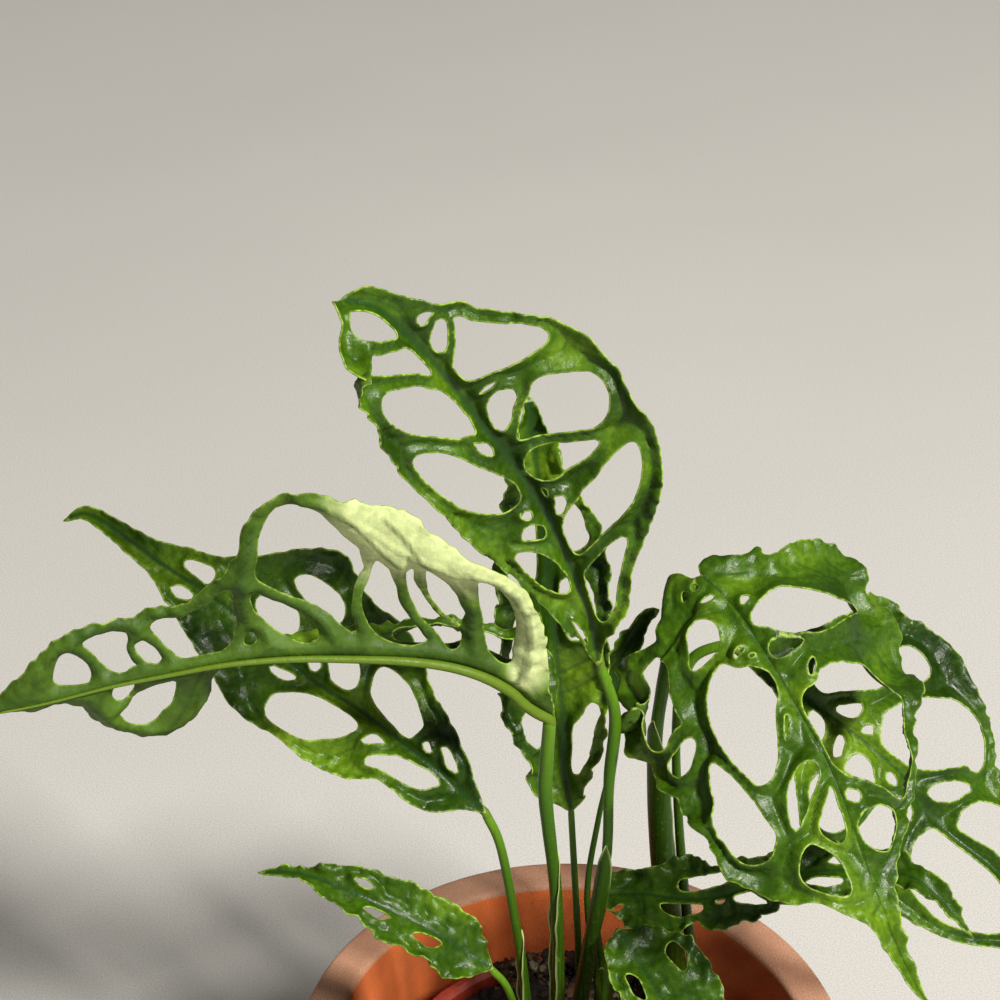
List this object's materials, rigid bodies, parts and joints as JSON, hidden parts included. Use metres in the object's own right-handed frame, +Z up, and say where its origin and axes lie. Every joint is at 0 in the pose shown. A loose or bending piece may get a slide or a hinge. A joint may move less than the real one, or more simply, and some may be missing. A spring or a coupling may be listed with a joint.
{
  "type": "potted monstera obliqua",
  "caption": "Potted Monstera obliqua with lacy, many-holed leaves on long sheathed stalks, in a soft nursery pot standing inside a thick-walled tapered terracotta pot",
  "frame": {"origin": "the middle of the terracotta pot's foot, on the surface it stands on", "axes": "+Z up along the pot's axis; -Y the side seen in the picture; +X to the picture's right"},
  "size_m": [0.2663, 0.149, 0.3746],
  "materials": {
    "terracotta": "matte",
    "nursery": "satin",
    "mix": "matte",
    "stem": "satin",
    "petiole": "satin",
    "blade": "satin",
    "perlite": "matte",
    "bark": "matte",
    "pebble": "matte"
  },
  "bodies": {
    "root": {"outer_pot": "terracotta", "nursery_pot": "nursery", "potting_mix": "mix", "stem_left": "stem", "stem_right": "stem", "petiole_tall": "petiole", "petiole_arching": "petiole", "petiole_left": "petiole", "petiole_back": "petiole", "petiole_nodding": "petiole", "petiole_right": "petiole", "petiole_low_right": "petiole", "petiole_low_left": "petiole", "petiole_front": "petiole", "petiole_newest": "petiole", "blade_tall": "blade", "blade_arching": "blade", "blade_left": "blade", "blade_back": "blade", "blade_nodding": "blade", "blade_right": "blade", "blade_low_right": "blade", "blade_low_left": "blade", "blade_front": "blade", "blade_newest": "blade", "perlite_1": "perlite", "perlite_2": "perlite", "perlite_3": "perlite", "bark_4": "bark", "bark_5": "bark", "bark_6": "bark", "pebble_7": "pebble", "pebble_8": "pebble", "pebble_9": "pebble"}
  },
  "joints": []
}
